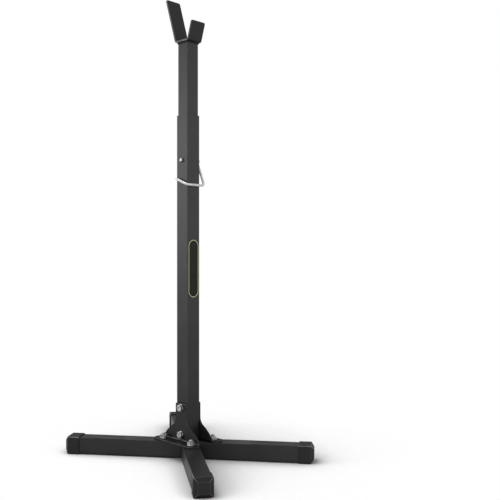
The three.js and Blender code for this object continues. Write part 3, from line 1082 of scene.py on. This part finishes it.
def make_edge_wear_and_highlight():
    """Where rounded edges are lighter, unevenly: partly from wear and partly a painted highlight,
    strongest where they look up.
    """
    group, ins, outs = new_group("edge wear and highlight", WEAR_AND_HIGHLIGHT_INPUTS, ["Mask"])
    patches = band(group, noise(group, object_place(group), *WORN_PATCHES), *PATCH_BAND)
    uneven = scaled(group, patches, PATCH_SHARE, 1 - PATCH_SHARE)
    lift = scaled(group, upward_share(group), UPWARD_WEAR_AND_HIGHLIGHT, ins["Upright"])
    wear_and_highlight = band(group, attribute(group, "edge")["Fac"], *EDGE_BAND)
    wear_and_highlight = calc(group, "MULTIPLY", calc(group, "MULTIPLY", wear_and_highlight, uneven), lift)
    feed(group, outs["Mask"], calc(group, "MULTIPLY", wear_and_highlight, ins["Amount"], True))
    return group


def make_dust():
    """Fine dust that has settled on faces that look up, and the film that dulls them all over."""
    group, ins, outs = new_group("settled dust", DUST_INPUTS, ["Mask", "Film"])
    upward = band(group, upward_share(group), *UPWARD_BAND)
    drift = band(group, noise(group, object_place(group), *DUST_DRIFT), *DUST_BAND)
    dust = calc(group, "MULTIPLY", upward, drift)
    feed(group, outs["Mask"], calc(group, "MULTIPLY", dust, ins["Amount"], True))
    feed(group, outs["Film"], upward)
    return group


def make_metal_lines():
    """Fine lines left by drawing, turning or tumbling, and slow stains."""
    group, ins, outs = new_group("metal lines", LINE_INPUTS, ["Lines", "Stain"])
    at = object_place(group)
    axes = group.nodes.new("ShaderNodeCombineXYZ")
    feed(group, axes.inputs["X"], ins["Stretch"])
    feed(group, axes.inputs["Y"], 1.0)
    feed(group, axes.inputs["Z"], 1.0)
    drawn = squeezed(group, at, axes.outputs[0])
    feed(group, outs["Lines"], noise(group, drawn, ins["Scale"], *TOOL_LINE_LAYERS))
    feed(group, outs["Stain"], noise(group, at, *METAL_STAINS))
    return group


def make_streaks():
    """Long thin streaks along a tube, from its own frame, left where something rubbing on it has passed.
    """
    group, ins, outs = new_group("rub streaks", STREAK_INPUTS, ["Mask"])
    drawn = squeezed(group, attribute(group, "own")["Vector"], STREAK_SQUEEZE)
    lines = band(group, noise(group, drawn, *STREAKS), *STREAK_BAND)
    lightened = calc(group, "MULTIPLY", lines, band(group, upward_share(group), *UPWARD_BAND))
    feed(group, outs["Mask"], calc(group, "MULTIPLY", lightened, ins["Amount"], True))
    return group


coat_grain = make_coat_grain()
edge_wear_and_highlight = make_edge_wear_and_highlight()
settled_dust = make_dust()
metal_lines = make_metal_lines()
rub_streaks = make_streaks()

# Share of its gloss that a face keeps under settled dust and in the painted shade of corners
DULL_SHARE = 0.12

# Weight of clear skin that reflects as much as a gloss of 1, and what an edge with wear and painted
# highlight adds
SKIN_PER_GLOSS = 2.0
EDGE_SKIN = 1.0

# Painted shade in corners: its colour on coats and plastic and on metal, and how far out of a corner it
# reaches
PAINTED_CORNER_SHADE = (0.003, 0.003, 0.003, 1)
CORNER_SHADE_REACH = 0.007
PAINTED_METAL_SHADE = (0.035, 0.034, 0.032, 1)
METAL_SHADE_REACH = 0.0025
PLASTIC_SHADE_REACH = 0.003

# Powder coat: its colour on edges with wear and painted highlight, and where it is dusty, specked or
# streaked by rubbing, and two of these effects' shares
WORN_AND_HIGHLIGHTED_COAT = (0.22, 0.22, 0.225, 1)
DUSTY_COAT = (0.2, 0.195, 0.19, 1)
COAT_SPECK = (0.12, 0.12, 0.12, 1)
RUBBED_COAT = (0.05, 0.05, 0.051, 1)
SPECK_SHARE = 0.35
RUBBED_SHARE = 0.5

# Powder coat: what tone, dust and clear skin add to its roughness, what wear takes off, its bump
TONE_ROUGHNESS = 0.16
DUSTY_ROUGHNESS = 0.3
SKIN_ROUGHNESS = 0.08
WORN_POLISH = 0.12
COAT_BUMP = (0.22, 0.0002)

# Moulded plastic: colours, shares of wear with painted highlight and of dust, roughness and bump
WORN_AND_HIGHLIGHTED_PLASTIC = (0.17, 0.17, 0.172, 1)
DUSTY_PLASTIC = (0.16, 0.157, 0.15, 1)
PLASTIC_WEAR_AND_HIGHLIGHT_SHARE = 1.0
PLASTIC_UPRIGHT_SHARE = 0.7
PLASTIC_DUST_SHARE = 0.04
PLASTIC_FILM_SHARE = 0.55
PLASTIC_ROUGHNESS = 0.48
PLASTIC_TONE_ROUGHNESS = 0.2
PLASTIC_SKIN_ROUGHNESS = 0.5
PLASTIC_BUMP = (0.25, 0.00015)

# Bare metal: what stains and lines add to its roughness, and its bump
STAIN_ROUGHNESS = 0.2
LINE_ROUGHNESS = 0.1
METAL_BUMP = (0.12, 0.0001)

# Label: ink and film, fresh and faded, the softness of its line, and the film's gloss and bump
INK = (0.48, 0.49, 0.24, 1)
FADED_INK = (0.64, 0.65, 0.36, 1)
FILM = (0.006, 0.006, 0.004, 1)
FADED_FILM = (0.014, 0.014, 0.009, 1)
LABEL_LINE_SOFT_SHARE = 0.15
FILM_GLOSS = 0.07
FILM_ROUGHNESS = 0.25
SCUFF_ROUGHNESS = 0.3
FILM_BUMP = (0.08, 0.0001)


# Finishes
def corner_unshaded_share(tree, reach):
    """1 on open faces, down to 0 in corners where other faces stand within reach, where the finishes
    paint shade.
    """
    node = tree.nodes.new("ShaderNodeAmbientOcclusion")
    node.inputs["Distance"].default_value = reach
    return band(tree, node.outputs["AO"], *UNSHADED_BAND)


def set_gloss(tree, shader, gloss, roughness, film_mask, wear_and_highlight, unshaded_share):
    """A dull ground under a clear skin: thin under dust, thick on edges with wear and painted highlight,
    none in the painted shade of corners.
    """
    shader["Specular IOR Level"].default_value = gloss * DULL_SHARE
    shader["Coat Roughness"].default_value = roughness
    clean = calc(tree, "SUBTRACT", 1.0, film_mask, True)
    skin = calc(tree, "MULTIPLY", clean, SKIN_PER_GLOSS * gloss * (1 - DULL_SHARE))
    skin = scaled(tree, wear_and_highlight, EDGE_SKIN, skin, True)
    feed(tree, shader["Coat Weight"], calc(tree, "MULTIPLY", skin, unshaded_share))


def powder_coat(
    name, dark, light, roughness, gloss, wear_and_highlight_share, upright_share, dust_share, shade_reach=CORNER_SHADE_REACH
):
    """Black powder coat: grain in the bump, tone and roughness that drift, edges lightened by wear and a
    painted highlight, painted shade in corners.
    """
    material, tree, shader = new_material(name)
    grain = use_group(tree, coat_grain)
    wear_and_highlight = use_group(tree, edge_wear_and_highlight, Amount=wear_and_highlight_share, Upright=upright_share)["Mask"]
    settled = use_group(tree, settled_dust, Amount=dust_share)
    lightened = use_group(tree, rub_streaks, Amount=RUBBED_SHARE)["Mask"]
    dusty = settled["Mask"]
    colour = blend_colours(tree, band(tree, grain["Tone"], *TONE_BAND), dark, light)
    colour = blend_colours(tree, calc(tree, "MULTIPLY", grain["Speck"], SPECK_SHARE), colour, COAT_SPECK)
    # Edges are lightened partly by wear and partly by a painted highlight
    colour = blend_colours(tree, wear_and_highlight, colour, WORN_AND_HIGHLIGHTED_COAT)
    colour = blend_colours(tree, dusty, colour, DUSTY_COAT)
    colour = blend_colours(tree, lightened, colour, RUBBED_COAT)
    # Painted shade: the colour darkens in corners, and the clear skin is taken off there too
    unshaded_share = corner_unshaded_share(tree, shade_reach)
    feed(tree, shader["Base Color"], blend_colours(tree, unshaded_share, PAINTED_CORNER_SHADE, colour))
    film_left = calc(tree, "SUBTRACT", settled["Film"], lightened, True)
    set_gloss(tree, shader, gloss, roughness + SKIN_ROUGHNESS, film_left, wear_and_highlight, unshaded_share)
    rough = scaled(tree, grain["Tone"], TONE_ROUGHNESS, roughness)
    rough = calc(tree, "SUBTRACT", rough, calc(tree, "MULTIPLY", wear_and_highlight, WORN_POLISH))
    feed(tree, shader["Roughness"], scaled(tree, dusty, DUSTY_ROUGHNESS, rough, True))
    feed(tree, shader["Normal"], bump(tree, grain["Height"], *COAT_BUMP))
    return material


def moulded_plastic(name, dark, light, gloss):
    """Black plastic: the mould's fine cells in the bump, edges lightened by wear and a painted
    highlight, painted shade in corners and a little dust.
    """
    material, tree, shader = new_material(name)
    at = object_place(tree)
    cells = tree.nodes.new("ShaderNodeTexVoronoi")
    feed(tree, cells.inputs["Vector"], at)
    cells.inputs["Scale"].default_value = PLASTIC_CELLS
    tone = noise(tree, at, *PLASTIC_TONE)
    wear_and_highlight = use_group(tree, edge_wear_and_highlight, Amount=PLASTIC_WEAR_AND_HIGHLIGHT_SHARE, Upright=PLASTIC_UPRIGHT_SHARE)["Mask"]
    settled = use_group(tree, settled_dust, Amount=PLASTIC_DUST_SHARE)
    # Painted shade: the colour darkens in corners, and the clear skin is taken off there too
    unshaded_share = corner_unshaded_share(tree, PLASTIC_SHADE_REACH)
    film_left = calc(tree, "MULTIPLY", settled["Film"], PLASTIC_FILM_SHARE)
    set_gloss(tree, shader, gloss, PLASTIC_SKIN_ROUGHNESS, film_left, wear_and_highlight, unshaded_share)
    colour = blend_colours(tree, band(tree, tone, *TONE_BAND), dark, light)
    # Edges are lightened partly by wear and partly by a painted highlight
    colour = blend_colours(tree, wear_and_highlight, colour, WORN_AND_HIGHLIGHTED_PLASTIC)
    colour = blend_colours(tree, settled["Mask"], colour, DUSTY_PLASTIC)
    feed(tree, shader["Base Color"], blend_colours(tree, unshaded_share, PAINTED_CORNER_SHADE, colour))
    feed(tree, shader["Roughness"], scaled(tree, tone, PLASTIC_TONE_ROUGHNESS, PLASTIC_ROUGHNESS))
    feed(tree, shader["Normal"], bump(tree, cells.outputs["Distance"], *PLASTIC_BUMP))
    return material


def bare_metal(name, bright, dull, roughness, scale, stretch):
    """Metal with dull stains and fine lines, along X for a low stretch and across it for a high one, and
    painted shade in its narrowest gaps.
    """
    material, tree, shader = new_material(name)
    marks = use_group(tree, metal_lines, Scale=scale, Stretch=stretch)
    colour = blend_colours(tree, band(tree, marks["Stain"], *STAIN_BAND), bright, dull)
    # Painted shade: the colour darkens in narrow gaps and grooves
    unshaded_share = corner_unshaded_share(tree, METAL_SHADE_REACH)
    feed(tree, shader["Base Color"], blend_colours(tree, unshaded_share, PAINTED_METAL_SHADE, colour))
    shader["Metallic"].default_value = 1.0
    rough = scaled(tree, marks["Stain"], STAIN_ROUGHNESS, roughness)
    feed(tree, shader["Roughness"], scaled(tree, marks["Lines"], LINE_ROUGHNESS, rough, True))
    feed(tree, shader["Normal"], bump(tree, marks["Lines"], *METAL_BUMP))
    return material


def capsule_distance(tree, at):
    """Distance inwards from the label's edge, from places on the post's -Y face."""
    parts = axis_parts(tree, at)
    straight = LABEL_HEIGHT / 2 - LABEL_WIDTH / 2
    rise = calc(tree, "ABSOLUTE", calc(tree, "SUBTRACT", parts["Z"], LABEL_MIDDLE))
    beyond = calc(tree, "MAXIMUM", calc(tree, "SUBTRACT", rise, straight), 0.0)
    across = calc(tree, "POWER", calc(tree, "ABSOLUTE", parts["X"]), 2.0)
    along = calc(tree, "POWER", beyond, 2.0)
    far = calc(tree, "SQRT", calc(tree, "ADD", across, along))
    return calc(tree, "SUBTRACT", LABEL_WIDTH / 2, far)


def label_film():
    """Glossy black film with a thin outline, and nothing printed inside it."""
    material, tree, shader = new_material("label_film")
    at = object_place(tree)
    inwards = capsule_distance(tree, at)
    soft = LABEL_LINE * LABEL_LINE_SOFT_SHARE
    inner_limit = LABEL_LINE_INSET + LABEL_LINE
    outer_rim = band(tree, inwards, LABEL_LINE_INSET, LABEL_LINE_INSET + soft)
    inner_rim = band(tree, inwards, inner_limit, inner_limit + soft)
    line = calc(tree, "SUBTRACT", outer_rim, inner_rim, True)
    ink = blend_colours(tree, noise(tree, at, *INK_GRAIN), INK, FADED_INK)
    ground = blend_colours(tree, noise(tree, at, *FILM_TONE), FILM, FADED_FILM)
    feed(tree, shader["Base Color"], blend_colours(tree, line, ground, ink))
    scuffs = noise(tree, at, *FILM_SCUFFS)
    shader["Specular IOR Level"].default_value = FILM_GLOSS
    feed(tree, shader["Roughness"], scaled(tree, scuffs, SCUFF_ROUGHNESS, FILM_ROUGHNESS))
    feed(tree, shader["Normal"], bump(tree, scuffs, *FILM_BUMP))
    return material


frame_coat = powder_coat(
    "frame_coat",
    dark=(0.0122, 0.0122, 0.0126, 1),
    light=(0.018, 0.018, 0.0185, 1),
    roughness=0.34,
    gloss=0.21,
    wear_and_highlight_share=1.0,
    upright_share=0.09,
    dust_share=0.004,
)
saddle_coat = powder_coat(
    "saddle_coat",
    dark=(0.0075, 0.0075, 0.0078, 1),
    light=(0.0105, 0.0105, 0.0109, 1),
    roughness=0.46,
    gloss=0.19,
    wear_and_highlight_share=0.4,
    upright_share=0.9,
    dust_share=0.03,
)
bracket_coat = powder_coat(
    "bracket_coat",
    dark=(0.0085, 0.0085, 0.0088, 1),
    light=(0.0125, 0.0125, 0.0129, 1),
    roughness=0.42,
    gloss=0.2,
    wear_and_highlight_share=0.9,
    upright_share=0.9,
    dust_share=0.02,
    shade_reach=0.002,
)
cap_plastic = moulded_plastic(
    "cap_plastic",
    dark=(0.008, 0.008, 0.0083, 1),
    light=(0.011, 0.011, 0.0114, 1),
    gloss=0.18,
)
guide_plastic = moulded_plastic(
    "guide_plastic",
    dark=(0.03, 0.03, 0.031, 1),
    light=(0.042, 0.042, 0.044, 1),
    gloss=0.4,
)
zinc_plate = bare_metal(
    "zinc_plate",
    bright=(0.5, 0.51, 0.52, 1),
    dull=(0.2, 0.2, 0.2, 1),
    roughness=0.2,
    scale=1400.0,
    stretch=1.0,
)
pin_steel = bare_metal(
    "pin_steel",
    bright=(0.46, 0.47, 0.48, 1),
    dull=(0.3, 0.3, 0.31, 1),
    roughness=0.42,
    scale=500.0,
    stretch=14.0,
)
wire_steel = bare_metal(
    "wire_steel",
    bright=(0.5, 0.51, 0.52, 1),
    dull=(0.42, 0.43, 0.44, 1),
    roughness=0.52,
    scale=900.0,
    stretch=0.3,
)
label_black = label_film()


# The assembly
def dress_foot():
    finish(long_leg(), "long_leg_tube", frame_coat, "stand_base", ["leg_long"])
    for side in ("front", "rear"):
        leg = half_leg(HEADINGS[side])
        finish(leg, f"{side}_leg_tube", frame_coat, "stand_base", [f"leg_{side}"])
        for long_side in ("left", "right"):
            weld = leg_weld(long_side, side)
            node = f"leg_weld_{side}_{long_side}"
            finish(weld, f"{node}_bead", frame_coat, "stand_base", [node])
    model = end_cap()
    for side, heading in HEADINGS.items():
        cap = copy_of(model)
        place(cap, ray(heading) * (LEG_REACH - CAP_LENGTH), (0, 0, heading))
        node = f"leg_cap_{side}"
        finish(cap, f"{node}_shell", cap_plastic, "stand_base", [node])
    discard(model)


def dress_brackets():
    model = bracket()
    for side, heading in {"right": 0, "left": math.pi}.items():
        sheet = copy_of(model)
        place(sheet, (OUTER_HALF * math.cos(heading), 0, LEG_TOP), (0, 0, heading))
        node = f"bracket_{side}"
        finish(sheet, f"{node}_sheet", bracket_coat, "stand_base", [node])
    discard(model)


def dress_fastener(model, node, at, along):
    piece = copy_of(model)
    place_on_axis(piece, at, along)
    finish(piece, f"{node}_plated", zinc_plate, "stand_base", [node])


def dress_fasteners():
    nut_model = nut()
    foot_washer = washer(FOOT_WASHER_RADIUS)
    post_washer = washer(POST_WASHER_RADIUS)
    up = (0, 0, 1)
    foot_length = LEG_WALL + SHEET + WASHER_THICKNESS + NUT_HEIGHT + THREAD_STUB
    foot_bolt = bolt(foot_length)
    for side, heading in HEADINGS.items():
        spot = ray(heading) * FOOT_BOLT_RADIUS
        sheet_top = spot + Vector((0, 0, LEG_TOP + SHEET))
        dress_fastener(foot_bolt, f"foot_bolt_{side}", spot + Vector((0, 0, LEG_TOP - LEG_WALL)), up)
        dress_fastener(foot_washer, f"foot_washer_{side}", sheet_top, up)
        nut_seat = sheet_top + Vector((0, 0, WASHER_THICKNESS))
        dress_fastener(nut_model, f"foot_nut_{side}", nut_seat, up)
    plate_face = OUTER_HALF + SHEET
    seat = plate_face + WASHER_THICKNESS
    post_bolt = bolt(2 * seat + NUT_HEIGHT + THREAD_STUB)
    along = (1, 0, 0)
    for level, rise in POST_BOLT_HEIGHTS.items():
        z = LEG_TOP + rise
        dress_fastener(post_bolt, f"post_bolt_{level}", (-seat, 0, z), along)
        dress_fastener(post_washer, f"post_head_washer_{level}", (-seat, 0, z), along)
        dress_fastener(post_washer, f"post_nut_washer_{level}", (plate_face, 0, z), along)
        dress_fastener(nut_model, f"post_nut_{level}", (seat, 0, z), along)
    discard(nut_model, foot_washer, post_washer, foot_bolt, post_bolt)


def dress_posts():
    finish(outer_tube(), "outer_post_tube", frame_coat, "stand_base", ["outer_post"])
    finish(label(), "post_label_film", label_black, "stand_base", ["post_label"])
    finish(inner_tube(), "inner_post_tube", frame_coat, "height_post", ["inner_post"])
    finish(finished_saddle(), "saddle_strap", saddle_coat, "height_post", ["bar_saddle"])
    finish(saddle_weld(), "saddle_bead", saddle_coat, "height_post", ["saddle_weld"])
    finish(lock_pin(), "lock_pin_turned", pin_steel, "pin_and_clip", ["lock_pin"])
    finish(wire_clip(), "wire_clip_bent", wire_steel, "pin_and_clip", ["wire_clip"])
    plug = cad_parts["inner_post_plug"]
    plug.data.materials.clear()
    plug.data.materials.append(guide_plastic)


# Camera, light and floor. A lamp has a place, a width and a power
CAMERA_PLACE = (-1.3888, -1.5684, 0.6)
CAMERA_YAW = math.radians(-46.3)
CAMERA_LENS = 53.33
CAMERA_SHIFT_UP = -0.0124
AMBIENT = 0.34
FLOOR_SIZE = 60.0
# Painted shadow in the floor's colour near the stand: its reach, lean, contrast and darkest colour
FLOOR_SHADE_REACH = 0.4
FLOOR_SHADE_LEAN = (-0.45, -0.13, 0.88)
FLOOR_SHADE_POWER = 1.8
FLOOR_WHITE = (0.97, 0.97, 0.97, 1)
FLOOR_SHADED = (0.35, 0.35, 0.35, 1)
OPEN_FLOOR_BAND = (0.84, 1.0)
LAMPS = {
    "left_rear": ((-2.15, 2.05, 1.1), 1.4, 37.0),
    "right_front": ((2.1, -2.0, 1.1), 2.2, 20.0),
    "top": ((-0.65, 0.35, 2.9), 1.7, 39.0),
    "left_front": ((-2.3, -2.5, 0.7), 1.8, 34.0),
}
AIM = Vector((0, 0, 0.45))


def make_camera():
    camera = bpy.data.objects.new("camera", bpy.data.cameras.new("camera"))
    bpy.context.collection.objects.link(camera)
    camera.location = CAMERA_PLACE
    camera.rotation_euler = (QUARTER, 0, CAMERA_YAW)
    camera.data.lens = CAMERA_LENS
    camera.data.shift_y = CAMERA_SHIFT_UP
    bpy.context.scene.camera = camera


def make_lamps():
    for name, (at, size, power) in LAMPS.items():
        data = bpy.data.lights.new(name, "AREA")
        data.shape = "DISK"
        data.size = size
        data.energy = power
        lamp = bpy.data.objects.new(name, data)
        bpy.context.collection.objects.link(lamp)
        lamp.location = at
        lamp.rotation_euler = (AIM - Vector(at)).to_track_quat("-Z", "Y").to_euler()


def seen_share(tree):
    """1 for rays that show a surface as it is: straight, reflected or refracted."""
    rays = tree.nodes.new("ShaderNodeLightPath").outputs
    seen = calc(tree, "MAXIMUM", rays["Is Camera Ray"], rays["Is Glossy Ray"])
    return calc(tree, "MAXIMUM", seen, rays["Is Transmission Ray"])


def make_world():
    """White where the camera, a reflection or a refraction looks at it, and dimmer as a light."""
    world = bpy.data.worlds.new("studio")
    bpy.context.scene.world = world
    world.use_nodes = True
    tree = world.node_tree
    strength = calc(tree, "MAXIMUM", seen_share(tree), AMBIENT)
    background = tree.nodes["Background"].inputs
    background["Color"].default_value = (1, 1, 1, 1)
    feed(tree, background["Strength"], strength)


def make_floor():
    """White where it is open, with a painted shadow in its colour near the stand, darkest on the side
    away from the lean.
    """
    bpy.ops.object.select_all(action="DESELECT")
    bpy.ops.mesh.primitive_plane_add(size=FLOOR_SIZE)
    floor = bpy.context.object
    floor.name = "floor"
    material, tree, shader = new_material("studio_floor")
    lean = tree.nodes.new("ShaderNodeCombineXYZ")
    for socket, share in zip(lean.inputs, FLOOR_SHADE_LEAN):
        socket.default_value = share
    corner = tree.nodes.new("ShaderNodeAmbientOcclusion")
    corner.inputs["Distance"].default_value = FLOOR_SHADE_REACH
    feed(tree, corner.inputs["Normal"], lean.outputs[0])
    # Painted shadow: the floor's colour darkens where the leaned occlusion finds the stand near
    shade = calc(tree, "POWER", corner.outputs["AO"], FLOOR_SHADE_POWER)
    feed(tree, shader["Base Color"], blend_colours(tree, shade, FLOOR_SHADED, FLOOR_WHITE))
    shader["Roughness"].default_value = 1.0
    shader["Specular IOR Level"].default_value = 0.0
    open_floor = band(tree, corner.outputs["AO"], *OPEN_FLOOR_BAND)
    glow = tree.nodes.new("ShaderNodeEmission")
    mix = tree.nodes.new("ShaderNodeMixShader")
    feed(tree, mix.inputs[0], calc(tree, "MULTIPLY", open_floor, seen_share(tree)))
    tree.links.new(tree.nodes["Principled BSDF"].outputs[0], mix.inputs[1])
    tree.links.new(glow.outputs[0], mix.inputs[2])
    tree.links.new(mix.outputs[0], tree.nodes["Material Output"].inputs["Surface"])
    floor.data.materials.append(material)


dress_foot()
dress_brackets()
dress_fasteners()
dress_posts()
make_camera()
make_lamps()
make_world()
make_floor()
bpy.context.scene.view_settings.view_transform = "Standard"
